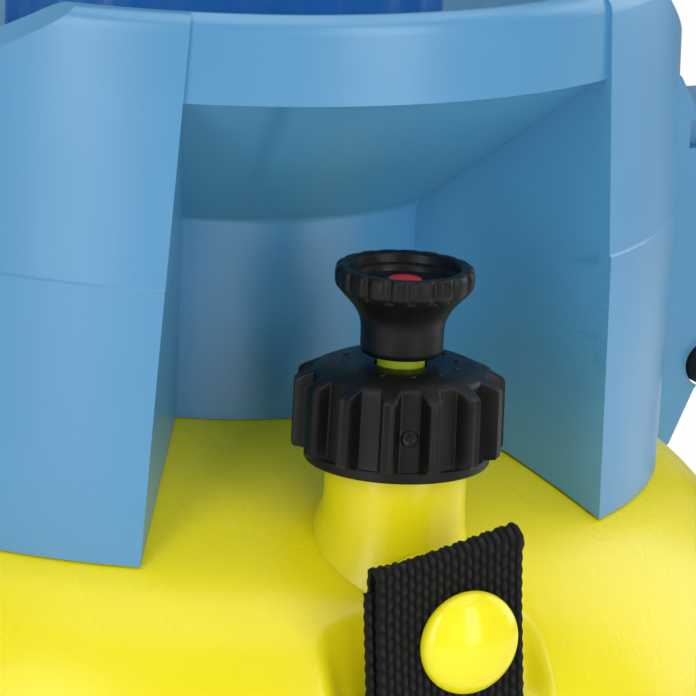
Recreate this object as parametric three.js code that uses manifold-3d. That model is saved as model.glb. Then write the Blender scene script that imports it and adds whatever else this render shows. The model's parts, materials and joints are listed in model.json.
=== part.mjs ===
// Backpack compression sprayer: a blow-moulded tank, a funnel collar that doubles as the tank's
// shoulders, a hand pump, a relief valve in a pocket of the collar, carrying straps and a lance.
// Millimetres, +Z up. The origin is on the floor under the tank's axis, and the valve faces -Y.
import * as THREE from "three";
import { mergeVertices } from "three/addons/utils/BufferGeometryUtils.js";
import Module from "manifold-3d";

const wasm = await Module();
wasm.setup();

// ---- driving dimensions ----
const gap = 0.35;                 // clearance left between pieces that touch
const tankRadius = 100.6;
const tankWall = 3;
const collarRadius = 79.2;
const collarWall = 2.6;
const collarBottomZ = 374.3;
const bridgeZ = 450;              // lower edge of the ring that bridges the valve pocket
const rimZ = 464;
const rimInnerRadius = 72.6;
const tubeRadius = 39.8;          // collar's central tube, the pocket's back wall
const tubeTopZ = 423;
const sideSlope = 0.8;            // fall of the collar's cut-down sides
const sideStartX = 51.2;
const mouthRadius = 31;
const mouthBore = 27;
const mouthTopZ = 432;
const valveY = -72.5;
const valveCapZ = 390.7;
const valveCapTopZ = 406.8;
const valveNeckRadius = 11.45;
const valveBore = 8;
const strapZ = 368.6;             // height of the strap pin
const strapWidth = 26;
const strapThickness = 1.5;
const strapSpread = 8.2;          // degrees each strap leans out from the pin
const footHeight = 46;
const footRadius = 107;
const lugX = 36;
const outletZ = 66;
const barrelRadius = 22;
const barrelBottomZ = 96;
const rodRadius = 6;
const handleZ = 505;
const handleLength = 128;
const lanceX = 118;
const lanceTubeRadius = 4.5;
const bigRound = 40;              // facets round the tank, collar and foot

// ---- finishes ----
const finish = (color, roughness, metalness = 0) =>
  new THREE.MeshStandardMaterial({ color, roughness, metalness });
const yellowTank = finish("#f0ea1e", 0.32);
const lightBlue = finish("#6fa8d3", 0.36);
const deepBlue = finish("#1f6fb8", 0.35);
const blackPlastic = finish("#141414", 0.4);
const blackRubber = finish("#1a1a1a", 0.75);
const blackWebbing = finish("#18191b", 0.9);
const limePlastic = finish("#b9cf3a", 0.35);
const redPlastic = finish("#c8202a", 0.35);
const yellowButton = finish("#f2ec1c", 0.22);
const steel = finish("#b9bcc0", 0.3, 1);
const greyPlastic = finish("#8e9296", 0.5);

// ---- solids ----
function toSolid(geometry) {
  const bare = geometry.index ? geometry.toNonIndexed() : geometry.clone();
  for (const name of Object.keys(bare.attributes)) if (name !== "position") bare.deleteAttribute(name);
  const welded = mergeVertices(bare, 1e-4);
  const spots = welded.attributes.position;
  const order = welded.index.array;
  const faces = [];
  let volume = 0;
  const corner = [new THREE.Vector3(), new THREE.Vector3(), new THREE.Vector3()];
  for (let i = 0; i < order.length; i += 3) {
    const [a, b, c] = [order[i], order[i + 1], order[i + 2]];
    if (a === b || b === c || a === c) continue;
    faces.push([a, b, c]);
    [a, b, c].forEach((k, n) => corner[n].fromBufferAttribute(spots, k));
    volume += corner[0].dot(corner[1].clone().cross(corner[2]));
  }
  const outward = volume > 0 ? faces : faces.map(([a, b, c]) => [a, c, b]);
  return new wasm.Manifold(new wasm.Mesh({
    numProp: 3,
    vertProperties: Float32Array.from(spots.array),
    triVerts: Uint32Array.from(outward.flat()),
  }));
}

function toGeometry(solid) {
  const result = solid.getMesh();
  const geometry = new THREE.BufferGeometry();
  geometry.setAttribute("position", new THREE.BufferAttribute(Float32Array.from(result.vertProperties), 3));
  geometry.setIndex(new THREE.BufferAttribute(Uint32Array.from(result.triVerts), 1));
  return geometry;
}

const join = (...parts) => toGeometry(parts.map(toSolid).reduce((a, b) => a.add(b)));
const cut = (base, ...tools) => toGeometry(tools.map(toSolid).reduce((a, b) => a.subtract(b), toSolid(base)));
const common = (a, b) => toGeometry(toSolid(a).intersect(toSolid(b)));

function turned(profile, segments = 40) {
  const points = profile.map(([r, z]) => new THREE.Vector2(r, z));
  if (profile[0][0] > 0) points.push(points[0].clone());
  return new THREE.LatheGeometry(points, segments).rotateX(Math.PI / 2);
}

const drum = (radius, low, high, segments = 32) =>
  turned([[0, low], [radius, low], [radius, high], [0, high]], segments);

const block = (x0, y0, z0, x1, y1, z1) =>
  new THREE.BoxGeometry(x1 - x0, y1 - y0, z1 - z0)
    .translate((x0 + x1) / 2, (y0 + y1) / 2, (z0 + z1) / 2);

const outline = (points) => new THREE.Shape(points.map(([x, y]) => new THREE.Vector2(x, y)));

// A flat outline in X and Y, standing from low to high.
const prism = (points, low, high) =>
  new THREE.ExtrudeGeometry(outline(points), { depth: high - low, bevelEnabled: false }).translate(0, 0, low);

// A flat outline in X and Z, running from y0 to y1.
const wallPrism = (points, y0, y1) =>
  new THREE.ExtrudeGeometry(outline(points), { depth: y1 - y0, bevelEnabled: false })
    .rotateX(Math.PI / 2).translate(0, y1, 0);

// A flat outline in Y and Z, running from x0 to x1.
const sidePrism = (points, x0, x1) =>
  new THREE.ExtrudeGeometry(outline(points), { depth: x1 - x0, bevelEnabled: false })
    .rotateZ(Math.PI / 2).rotateY(Math.PI / 2).translate(x0, 0, 0);

function roundedOutline(width, height, radius, steps = 4) {
  const points = [];
  const corners = [[1, -1, -90], [1, 1, 0], [-1, 1, 90], [-1, -1, 180]];
  for (const [sx, sy, start] of corners) {
    for (let i = 0; i <= steps; i++) {
      const angle = THREE.MathUtils.degToRad(start + (90 * i) / steps);
      points.push([
        sx * (width / 2 - radius) + radius * Math.cos(angle),
        sy * (height / 2 - radius) + radius * Math.sin(angle),
      ]);
    }
  }
  return points;
}

const mirrored = (geometry) => geometry.clone().scale(-1, 1, 1);
const alongY = (geometry) => geometry.rotateX(-Math.PI / 2);
const alongX = (geometry) => geometry.rotateY(Math.PI / 2);

// A ribbed grip: ribs of one depth round a plain drum.
function ribbedDrum(radius, ribHeight, low, high, ribs, steps = 4) {
  const points = [];
  const count = ribs * steps;
  for (let i = 0; i < count; i++) {
    const phase = (i % steps) / steps;
    const r = phase < 0.5 ? radius : radius - ribHeight;
    const angle = (2 * Math.PI * i) / count;
    points.push([r * Math.cos(angle), r * Math.sin(angle)]);
  }
  return prism(points, low, high);
}

const group = new THREE.Group();
function add(name, geometry, material) {
  const piece = new THREE.Mesh(toGeometry(toSolid(geometry)), material);
  piece.name = name;
  group.add(piece);
  return piece;
}

// ---- tank ----
const shoulder = [
  [tankRadius, 330], [100, 340], [98, 349], [94.5, 357.5], [89.7, 364.8], [84.8, 369.8], [79.5, 373.5],
  [69.7, 378.2], [60.5, 382], [tubeRadius, 388], [34, 390.2],
];
const tankBottom = [[0, 22], [64, 15], [86, 18.5], [96.5, 28], [tankRadius, 44]];
// The shoulder moved in along both axes by the wall, for the inside.
const shoulderInside = shoulder.map(([r, z]) => [r - tankWall * (r / tankRadius), z - tankWall]);

const tankOutside = turned([...tankBottom, ...shoulder, [mouthRadius, 392.5], [mouthRadius, mouthTopZ],
  [0, mouthTopZ]], bigRound);
const tankInside = turned([[0, 25], [63, 18], [84.5, 21.5], [93.6, 30], [tankRadius - tankWall, 45],
  ...shoulderInside, [mouthBore, 386.5], [mouthBore, mouthTopZ + 5], [0, mouthTopZ + 5]], bigRound);

const valveNeckSolid = turned([[0, 366], [16, 366], [16, 375.2], [13, 378.6], [valveNeckRadius, 382.5],
  [valveNeckRadius, 402.4], [0, 402.4]], 32).translate(0, valveY, 0);
const recessHalf = 21;
const recessFloorY = 92.6;
const recessOutline = [[-recessHalf, 250], [recessHalf, 250], [recessHalf, 376], [-recessHalf, 376]];
const strapRecess = wallPrism(recessOutline, -120, -recessFloorY);
const recessBacking = wallPrism([[-recessHalf - 3, 247], [recessHalf + 3, 247], [recessHalf + 3, 380],
  [-recessHalf - 3, 380]], -120, -recessFloorY + tankWall);
const strapBoss = alongY(drum(9, 84, 95.2, 24)).scale(1, -1, 1).translate(0, 0, strapZ);
const pinBore = alongY(drum(2.9, 88.5, 96, 16)).scale(1, -1, 1).translate(0, 0, strapZ);
const outletBoss = alongX(drum(13, 94, 108, 24)).scale(-1, 1, 1).translate(0, 0, outletZ);
const outletBore = alongX(drum(7.5, 80, 109, 20)).scale(-1, 1, 1).translate(0, 0, outletZ);

const tankShell = cut(
  join(cut(tankOutside, strapRecess), valveNeckSolid, strapBoss, outletBoss),
  cut(tankInside, recessBacking),
  drum(valveBore, 360, 404, 24).translate(0, valveY, 0),
  pinBore,
  outletBore,
);
add("tank", tankShell, yellowTank);

// ---- base foot, with strap lugs, the lance's cup and a tread plate at the back ----
const footRing = turned([[82, 0], [footRadius, 0], [footRadius, 6], [104.4, 12], [104.4, footHeight],
  [tankRadius + gap, footHeight], [tankRadius + gap, 43.5], [96.9, 27.2], [86.2, 18.1], [82, 17.4]], bigRound);
const footHollow = turned([[86, -1], [103.5, -1], [102, 10], [99.6, 16], [92, 12]], bigRound);
const lug = (x) => cut(
  wallPrism(roundedOutline(38, 22, 5).map(([u, v]) => [x + u, 13 + v]), -114, -95),
  block(x - 14, -110.4, -2, x + 14, -105.6, 30),
);
const cupOuter = prism(roundedOutline(38, 40, 8).map(([u, v]) => [lanceX + u, v]), 0, 34);
const cupInner = join(prism(roundedOutline(28, 30, 7).map(([u, v]) => [lanceX + u, v]), 8, 40),
  block(lanceX, -15, 8, lanceX + 30, 15, 40));
const tankClear = turned([[0, 12], [82, 12], [86.2, 18], [96.9, 27.1], [tankRadius + gap, 43.4],
  [tankRadius + gap, 80], [0, 80]], bigRound);
const treadPlate = cut(prism(roundedOutline(70, 30, 8).map(([u, v]) => [u, 99 + v]), 0, 9), drum(99, -5, 60, bigRound));
const baseFoot = cut(
  join(treadPlate, cut(footRing, footHollow), cut(join(cut(lug(lugX), tankClear), cut(cupOuter, drum(100, -5, 60, bigRound))),
    drum(99, -5, 60, bigRound)), cut(lug(-lugX), drum(99, -5, 60, bigRound))),
  cupInner,
);
add("base_foot", baseFoot, lightBlue);

// ---- funnel collar ----
const coneProfile = [
  [collarRadius, 366], [collarRadius, bridgeZ], [78.6, 459.5], [77.6, 462.6], [76, rimZ], [73.6, rimZ],
  [rimInnerRadius, 462.8], [72.2, 453], [39.5, 427.5], [31.8, 427], [31.8, 424], [37.2, 424],
  [37.2, 380], [tubeRadius, 380], [tubeRadius, tubeTopZ], [76.4, bridgeZ], [76.6, 366],
];
const pocketFill = turned([[0, 350], [tubeRadius, 350], [tubeRadius, tubeTopZ], [76.4, bridgeZ],
  [0, bridgeZ + 0.01]], bigRound);

// The valve pocket widens outward and downward; its cross-section is a trapezium at each height.
function pocketBlock(extra, low, high) {
  const at = (z) => {
    const fall = (bridgeZ - z) / (bridgeZ - collarBottomZ);
    const frontX = 37.7 + 4.9 * fall;
    const spread = (frontX - 21.5) / (68 - 33.5);
    return [[0, 20], [21.5 - spread * 13.5 + extra, 20], [frontX + spread * 32 + extra, 100], [0, 100]];
  };
  const ring = (z) => {
    const half = at(z);
    const full = [half[1], half[2], [-half[2][0], half[2][1]], [-half[1][0], half[1][1]]];
    return full.map(([x, y]) => [x, -y, z]);
  };
  const corners = [...ring(low), ...ring(high)];
  const quads = [[0, 1, 2, 3], [7, 6, 5, 4], [0, 4, 5, 1], [1, 5, 6, 2], [2, 6, 7, 3], [3, 7, 4, 0]];
  const geometry = new THREE.BufferGeometry();
  geometry.setAttribute("position", new THREE.Float32BufferAttribute(corners.flat(), 3));
  geometry.setIndex(quads.flatMap(([a, b, c, d]) => [a, b, c, a, c, d]));
  return geometry;
}
const pocketSpace = cut(pocketBlock(0, 340, bridgeZ), pocketFill);
const wallBand = cut(common(pocketBlock(collarWall, 341, bridgeZ), turned([[38.5, 366], [collarRadius - 0.1, 366],
  [collarRadius - 0.1, bridgeZ], [76, 451], [38.5, 424.2]], bigRound)), pocketBlock(0, 340, bridgeZ));

const tankClearance = turned([[0, 340], [tankRadius + 1, 340], [98.6, 349.4], [94.9, 358], [90, 365.3],
  [85, 370.3], [79.7, 374], [69.8, 378.7], [60.6, 382.5], [tubeRadius, 388.6], [34.2, 390.8], [mouthRadius + gap, 393.2],
  [mouthRadius + gap, 440], [0, 440]], bigRound);

// The wings: a bracket each side with a lip, a shallow recess below it and a notch for the rest peg.
const slopeAt = (x) => rimZ - sideSlope * (x - sideStartX);
const wingOutline = [[74, slopeAt(74) - 0.02], [86.8, slopeAt(86.8)], [90, 430], [129, 430], [131, 428], [131, 426],
  [129, 424.6], [112, 423.4], [106, 418], [104, 390], [100, 385.6], [93.3, 376.9], [88.8, 367], [80, 362],
  [74, 362]];
const wing = cut(
  wallPrism(wingOutline, -8, 8),
  wallPrism([[89.2, 422.3], [108, 422.3], [108, 427.3], [89.2, 427.3]], -9, -4.4),
  wallPrism([[89.2, 422.3], [108, 422.3], [108, 427.3], [89.2, 427.3]], 4.4, 9),
  alongY(drum(4.2, -9, 9, 24)).translate(95.6, 0, 381.6),
  prism([[95, -9], [110, -9], [110, 9], [95, 9]], 379.5, 383.7),
  drum(lanceTubeRadius + 0.5, 415, 440, 24).translate(lanceX, 0, 0),
  block(lanceX, -lanceTubeRadius - 0.5, 415, lanceX + 20, lanceTubeRadius + 0.5, 440),
);
const sideCut = wallPrism([[sideStartX, rimZ], [sideStartX, 490], [140, 490], [140, slopeAt(140)]], -100, 100);
const bowlSpace = turned([[0, 427], [39.5, 427.5], [72.2, 453], [rimInnerRadius, 462.8], [rimInnerRadius, 500],
  [0, 500]], bigRound);
const sidePlate = cut(common(wallPrism([[60, slopeAt(60)], [60, slopeAt(60) - 3.4], [79, slopeAt(79) - 3.4],
  [79, slopeAt(79)]], -70, 70), drum(collarRadius, 400, 480, bigRound)), bowlSpace);
const collarShell = join(
  cut(turned(coneProfile, bigRound), pocketSpace, sideCut, mirrored(sideCut)),
  wallBand, sidePlate, mirrored(sidePlate),
  cut(wing, drum(78, 300, 480, bigRound)), cut(mirrored(wing), drum(78, 300, 480, bigRound)),
);
add("funnel_collar", cut(collarShell, tankClearance, drum(84, 340, collarBottomZ, bigRound)), lightBlue);

const restPeg = (x) => alongY(turned([[0, -12], [2.6, -11.6], [3.7, -10.4], [3.85, -8.6], [3.85, 8.6],
  [3.7, 10.4], [2.6, 11.6], [0, 12]], 20)).translate(x, 0, 381.6);
add("rest_peg_right", restPeg(95.6), blackRubber);
add("rest_peg_left", restPeg(-95.6), blackRubber);

// ---- strap, pin, buckles ----
const strapFront = 95.7;
function strapProfile(offset) {
  // Side view: down the tank from the pin, a shallow bow clear of the tank, into the buckle.
  const line = [[0, 17], [0, -20], [2.4, -40], [6, -70], [9, -120], [9, -180], [8.7, -225], [8.4, -248]];
  const inner = line.map(([out, z]) => [-(strapFront + offset + out), strapZ + z]);
  const outer = line.map(([out, z]) => [-(strapFront + offset + out + strapThickness), strapZ + z]).reverse();
  return [...inner, ...outer];
}
const strapPivot = (geometry, side) =>
  geometry.translate(0, 0, -strapZ).rotateY(THREE.MathUtils.degToRad(-side * strapSpread)).translate(0, 0, strapZ);
const halfStrap = (side, offset) =>
  strapPivot(sidePrism(strapProfile(offset), -strapWidth / 2, strapWidth / 2), side);
const strapFold = block(-13.5, -(strapFront + 3.6), strapZ + 12, 13.5, -strapFront, strapZ + 17.4);
const pinHole = alongY(drum(3.3, 90, 110, 16)).scale(1, -1, 1).translate(0, 0, strapZ);
const webbing = cut(join(halfStrap(-1, 0), halfStrap(1, 2.1), strapFold), pinHole);
add("strap_webbing", webbing, blackWebbing);

const strapPin = join(
  alongY(turned([[0, 89.5], [2.5, 89.5], [2.5, 98], [2.9, 99.8], [8.7, 99.8], [8.9, 100.8], [8.2, 102.3],
    [6.2, 103.7], [3.2, 104.5], [0, 104.7]], 32)).scale(1, -1, 1).translate(0, 0, strapZ),
);
add("strap_pin", strapPin, yellowButton);

// Ladder-lock buckle, hooked over a short tail that comes up from the foot's lug.
const buckleZ = 104;
const buckleX = lugX;
function buckle(side) {
  const frame = wallPrism(roundedOutline(35, 30, 4).map(([u, v]) => [side * buckleX + u, buckleZ + v]), -108, -104);
  const window = (low, high) =>
    block(side * buckleX - 14, -112, buckleZ + low, side * buckleX + 14, -100, buckleZ + high);
  return cut(frame, window(4.5, 10.5), window(-2.4, 2.6), window(-11, -5));
}
add("buckle_right", buckle(1), blackPlastic);
add("buckle_left", buckle(-1), blackPlastic);
const tail = (side) => sidePrism([[-107.2, buckleZ - 15.6], [-108.8, buckleZ - 15.6], [-108.8, 6], [-107.2, 6]],
  side * buckleX - 12.8, side * buckleX + 12.8);
add("strap_tail_right", tail(1), blackWebbing);
add("strap_tail_left", tail(-1), blackWebbing);

// ---- relief valve ----
const capRibs = 14;
const capRibRadius = 17;
const capRibHeight = 2.7;
const capFlangeZ = valveCapZ + 1.8;
const capShoulderZ = valveCapTopZ - 2.6;   // where the ribs meet the cap's sloping shoulder
const capTurn = 3.3;                       // degrees; brings a flat between two ribs to the front
const capRibbedBody = common(
  ribbedDrum(capRibRadius, capRibHeight, capFlangeZ, valveCapTopZ, capRibs),
  turned([[0, valveCapZ], [capRibRadius + 1, valveCapZ], [capRibRadius + 1, capShoulderZ - 0.5],
    [11.4, valveCapTopZ], [0, valveCapTopZ]], 56)).rotateZ(THREE.MathUtils.degToRad(capTurn));
const valveCapBody = cut(
  join(capRibbedBody, drum(14.9, valveCapZ, capFlangeZ + 0.1, 56)),
  turned([[0, 388], [valveNeckRadius + gap, 388], [valveNeckRadius + gap, 402.9], [0, 402.9]], 32),
  drum(4.25, 400, 410, 24),
);
add("valve_cap", valveCapBody.translate(0, valveY, 0), blackPlastic);
add("valve_gasket", turned([[8.4, 402.41], [11.2, 402.41], [11.2, 402.86], [8.4, 402.86]], 32)
  .translate(0, valveY, 0), blackRubber);
const knobLowZ = 408.4;
add("valve_stem", cut(
  turned([[0, 383], [3, 383], [3, 388], [3.85, 389], [3.85, knobLowZ - gap], [2.4, knobLowZ - gap], [2.4, 412], [0, 412]], 24),
  drum(1.2, 404, 413, 12),
).translate(0, valveY, 0), limePlastic);
add("valve_seal", turned([[3.3, 384], [7.2, 384], [7.2, 386.6], [3.3, 386.6]], 28)
  .translate(0, valveY, 0), blackRubber);
const knobScallops = [];
for (let i = 0; i < 18; i++) {
  const angle = (2 * Math.PI * i) / 18;
  knobScallops.push(drum(0.9, 415, 424, 6).translate(11.75 * Math.cos(angle), 11.75 * Math.sin(angle), 0));
}
add("valve_knob", cut(
  turned([[2.7, knobLowZ], [6.3, knobLowZ], [6.65, knobLowZ + 0.4], [6.7, 413.2], [7.5, 415.4], [9.2, 417.6], [10.9, 419.2],
    [11.2, 419.9], [11.2, 422.2], [10.7, 422.7], [9.2, 422.7], [8.7, 422.2], [8.5, 420.4], [5, 419.2],
    [3.1, 418.9], [3.1, 413], [2.7, 412.6]], 28),
  ...knobScallops,
).translate(0, valveY, 0), blackPlastic);
add("indicator_pin", turned([[0, 412.4], [2.4, 412.4], [2.4, 413.3], [2.8, 413.6], [2.8, 420.1], [2.3, 420.7],
  [0, 420.9]], 20).translate(0, valveY, 0), redPlastic);

// Coil spring between the cap and the seal, round the stem.
class Helix extends THREE.Curve {
  constructor(radius, low, high, turns) { super(); Object.assign(this, { radius, low, high, turns }); }
  getPoint(t) {
    const angle = 2 * Math.PI * this.turns * t;
    return new THREE.Vector3(this.radius * Math.cos(angle), this.radius * Math.sin(angle),
      this.low + (this.high - this.low) * t);
  }
}
const wire = (radius, sides) => new THREE.Shape(Array.from({ length: sides }, (_, i) => new THREE.Vector2(
  radius * Math.cos((2 * Math.PI * i) / sides), radius * Math.sin((2 * Math.PI * i) / sides))));
const coil = (radius, thickness, low, high, turns) => new THREE.ExtrudeGeometry(wire(thickness, 6),
  { steps: turns * 9, bevelEnabled: false, extrudePath: new Helix(radius, low, high, turns) });
add("valve_spring", coil(5.6, 0.55, 387.8, 401.6, 5).translate(0, valveY, 0), steel);

// ---- pump ----
const pumpFlangeZ = mouthTopZ + 1.5;
add("mouth_gasket", turned([[mouthBore + 0.6, mouthTopZ + 0.3], [mouthRadius - 0.3, mouthTopZ + 0.3],
  [mouthRadius - 0.3, pumpFlangeZ - 0.3], [mouthBore + 0.6, pumpFlangeZ - 0.3]], 40), blackRubber);
const barrelTopZ = 452;
add("pump_barrel", turned([
  [barrelRadius - 2, barrelBottomZ + 4], [3.4, barrelBottomZ + 4], [3.4, barrelBottomZ],
  [barrelRadius, barrelBottomZ], [barrelRadius, pumpFlangeZ], [mouthRadius, pumpFlangeZ],
  [mouthRadius, pumpFlangeZ + 3], [barrelRadius + 2, pumpFlangeZ + 3], [barrelRadius + 2, barrelTopZ],
  [barrelRadius - 2, barrelTopZ],
], 32), deepBlue);
add("foot_valve", turned([[0, barrelBottomZ - 6], [6, barrelBottomZ - 6], [9, barrelBottomZ - 1],
  [9, barrelBottomZ - 0.35], [2.9, barrelBottomZ - 0.35], [2.9, barrelBottomZ + 4.4], [6, barrelBottomZ + 4.4],
  [6, barrelBottomZ + 6.4], [0, barrelBottomZ + 6.8]], 28), blackRubber);
add("rod_guide", turned([[rodRadius + 0.4, barrelTopZ - 8], [barrelRadius - 2.4, barrelTopZ - 8],
  [barrelRadius - 2.4, barrelTopZ + 0.4], [barrelRadius + 1.6, barrelTopZ + 0.4],
  [barrelRadius + 1.6, barrelTopZ + 3.4], [rodRadius + 0.4, barrelTopZ + 3.4]], 36), blackPlastic);

// Cap nut: a tall ribbed skirt over the mouth, with an inward flange that holds the pump down.
const nutRibs = 20;
const nutTopZ = 470;
const nutSkirt = common(ribbedDrum(37.6, 1.6, 428.4, nutTopZ, nutRibs),
  turned([[0, 428], [36.6, 428], [37.6, 429.4], [37.6, 466], [34.6, nutTopZ], [0, nutTopZ]], bigRound));
const lockSlots = [0, 180].map((turn) =>
  block(0, -4.4, 458, 19.4, 4.4, 480).rotateZ(THREE.MathUtils.degToRad(turn + 90)));
add("pump_cap_nut", cut(nutSkirt,
  turned([[0, 420], [mouthRadius + gap, 420], [mouthRadius + gap, pumpFlangeZ + 3.4], [barrelRadius + 2.5, pumpFlangeZ + 3.4],
    [barrelRadius + 2.5, 462.4], [0, 462.4]], 48),
  drum(14.4, 455, 480, 32), ...lockSlots,
  turned([[0, 459], [20.6, 459], [20.6, 465.4], [0, 465.4]], 36),
), deepBlue);

const rodTopZ = 500;
const pistonZ = barrelBottomZ + 14;
add("pump_rod", drum(rodRadius, pistonZ + 18.4, rodTopZ, 24), greyPlastic);
add("piston", turned([[0, pistonZ], [19, pistonZ], [19.4, pistonZ + 1], [19.4, pistonZ + 4], [16.5, pistonZ + 4.6],
  [16.5, pistonZ + 9.4], [19.2, pistonZ + 10], [19.2, pistonZ + 13], [9, pistonZ + 14], [9, pistonZ + 18.05],
  [0, pistonZ + 18.05]], 32), blackPlastic);
add("piston_seal", turned([[16.9, pistonZ + 5], [19.85, pistonZ + 5], [19.85, pistonZ + 9], [16.9, pistonZ + 9]], 36),
  blackRubber);

// T-handle: grip bar, neck and bayonet lugs that drop through the cap nut's slots.
const gripOutline = roundedOutline(26, 24, 9, 4);
const grip = sidePrism(gripOutline.map(([u, v]) => [u, handleZ + v]), -handleLength / 2, handleLength / 2);
const gripTrim = wallPrism([[-62, 500], [-64, 504], [-64, 508], [-58, 514], [-30, 518], [30, 518], [58, 514],
  [64, 508], [64, 504], [62, 500], [50, 494.5], [24, 493], [18, 488], [15, 476], [13.8, 474.5], [13.8, 470], [-13.8, 470],
  [-13.8, 474.5], [-15, 476], [-18, 488], [-24, 493], [-50, 494.5]], -20, 20);
const handleNeck = turned([[0, 460.6], [13.8, 460.6], [13.8, 471.2], [19, 473], [20, 476], [16.5, 486], [15.5, 498],
  [0, 498]], 32);
const lockLugs = [0, 180].map((turn) =>
  block(0, -3.8, 460.8, 18.8, 3.8, 464.4).rotateZ(THREE.MathUtils.degToRad(turn + 90)));
add("pump_handle", cut(
  join(common(grip, gripTrim), handleNeck, ...lockLugs),
  drum(rodRadius + gap, 450, rodTopZ + gap, 24),
), blackPlastic);

// ---- outlet ----
const outletOut = 108;
add("outlet_gasket", alongX(turned([[7.9, outletOut + 0.3], [12, outletOut + 0.3], [12, outletOut + 1.7],
  [7.9, outletOut + 1.7]], 28)).scale(-1, 1, 1).translate(0, 0, outletZ), blackRubber);
add("outlet_fitting", alongX(cut(
  turned([[0, 96], [7, 96], [7, outletOut + 2], [12.4, outletOut + 2], [12.4, outletOut + 4.4],
    [6.4, outletOut + 4.4], [6.4, outletOut + 12], [5.2, outletOut + 13], [6, outletOut + 15], [4.8, outletOut + 19],
    [6, outletOut + 21], [4.6, outletOut + 29], [0, outletOut + 29]], 20),
  drum(3, 90, 140, 16),
)).scale(-1, 1, 1).translate(0, 0, outletZ), blackPlastic);
add("outlet_nut", alongX(cut(
  ribbedDrum(17, 1.3, 97, outletOut + 8, 14),
  turned([[0, 90], [13.4, 90], [13.4, outletOut + 4.8], [7, outletOut + 4.8], [7, outletOut + 20],
    [0, outletOut + 20]], 36),
  turned([[13, 90], [40, 90], [40, 104.8], [13, 104.8]], 36),
)).scale(-1, 1, 1).translate(0, 0, outletZ), blackPlastic);

// ---- lance, parked upright beside the tank ----
const lanceBodyLow = 8.6;
const lanceBodyHigh = 146;
const gripBody = common(
  prism(roundedOutline(26, 28, 8).map(([u, v]) => [lanceX + u, v]), lanceBodyLow, lanceBodyHigh),
  sidePrism([[-14, lanceBodyLow], [14, lanceBodyLow], [14, 60], [11.5, 76], [11.5, 112], [13.4, 132], [10, lanceBodyHigh],
    [-10, lanceBodyHigh], [-13.4, 132], [-10, 116], [-10, 70], [-13.6, 48]], 90, 150),
);
const triggerSlot = block(lanceX - 5.4, -30, 52, lanceX + 5.4, -2.6, 128);
const lanceBore = drum(5.4, 120, 160, 20).translate(lanceX, 0, 0);
const triggerPin = alongX(drum(2.1, -14, 14, 16)).translate(lanceX, -7.2, 122);
const catchSlot = block(lanceX - 2.4, -20, 44, lanceX + 2.4, -5.6, 57);
add("lance_grip", cut(gripBody, triggerSlot, lanceBore, triggerPin, catchSlot), blackPlastic);
add("trigger_pin", alongX(drum(1.75, -12.4, 12.4, 16)).translate(lanceX, -7.2, 122), steel);
const triggerShape = sidePrism([[-3.8, 121], [-4.6, 125], [-8, 126.4], [-11.4, 125.4], [-15, 120], [-20.6, 100],
  [-23.4, 74], [-22.6, 58], [-19.6, 57], [-18.6, 74], [-15.8, 96], [-11, 112], [-6.6, 117]],
lanceX - 4.6, lanceX + 4.6);
add("trigger", cut(triggerShape, alongX(drum(2.1, -14, 14, 16)).translate(lanceX, -7.2, 122)), blackPlastic);
add("trigger_lock", join(
  sidePrism([[-17.4, 44], [-14, 44], [-14, 52.4], [-14.6, 53.4], [-16.4, 53.4], [-17.4, 52]], lanceX - 4.4, lanceX + 4.4),
  block(lanceX - 2, -14.4, 44.4, lanceX + 2, -6, 48.4),
), redPlastic);
add("lance_tube", cut(drum(lanceTubeRadius, 128, 470, 24), drum(2.8, 120, 480, 16)).translate(lanceX, 0, 0),
  blackPlastic);
add("lance_nut", cut(ribbedDrum(10, 1, lanceBodyHigh + 0.4, lanceBodyHigh + 18, 12),
  drum(lanceTubeRadius + gap, 140, 180, 24)).translate(lanceX, 0, 0), blackPlastic);
add("nozzle_body", cut(
  turned([[0, 452], [7, 452], [7, 476], [5.4, 478], [5.4, 492], [0, 492]], 28),
  turned([[0, 450], [lanceTubeRadius + gap, 450], [lanceTubeRadius + gap, 471], [1.4, 471.5], [1.4, 494], [0, 494]], 24),
).translate(lanceX, 0, 0), blackPlastic);
add("nozzle_cap", cut(
  common(ribbedDrum(9, 0.9, 480, 496, 14), turned([[0, 478], [8.6, 478], [9, 481], [9, 490], [6, 496], [0, 496]], 24)),
  turned([[0, 478], [5.4 + gap, 478], [5.4 + gap, 492.5], [0.9, 493], [0.9, 500], [0, 500]], 24),
).translate(lanceX, 0, 0), limePlastic);

export default group;
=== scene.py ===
import json
import math
import random

import bmesh
import bpy
from mathutils import Matrix, Vector


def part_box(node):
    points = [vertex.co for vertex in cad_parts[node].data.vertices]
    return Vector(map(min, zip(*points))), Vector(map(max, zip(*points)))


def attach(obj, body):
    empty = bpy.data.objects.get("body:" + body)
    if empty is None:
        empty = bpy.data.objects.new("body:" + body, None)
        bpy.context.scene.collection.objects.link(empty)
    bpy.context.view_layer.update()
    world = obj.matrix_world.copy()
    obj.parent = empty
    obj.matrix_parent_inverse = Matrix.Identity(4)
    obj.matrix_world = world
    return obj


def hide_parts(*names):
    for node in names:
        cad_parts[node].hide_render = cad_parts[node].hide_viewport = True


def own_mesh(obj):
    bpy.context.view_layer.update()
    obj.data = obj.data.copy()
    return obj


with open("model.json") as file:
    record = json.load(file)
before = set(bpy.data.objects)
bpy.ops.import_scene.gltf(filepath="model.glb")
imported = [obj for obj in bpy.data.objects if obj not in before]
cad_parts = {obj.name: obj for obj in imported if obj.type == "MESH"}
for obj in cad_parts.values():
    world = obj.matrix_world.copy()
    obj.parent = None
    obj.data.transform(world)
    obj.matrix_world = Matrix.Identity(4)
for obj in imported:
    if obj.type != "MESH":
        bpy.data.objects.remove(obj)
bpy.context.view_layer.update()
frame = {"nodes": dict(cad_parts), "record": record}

random.seed(7)
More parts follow.
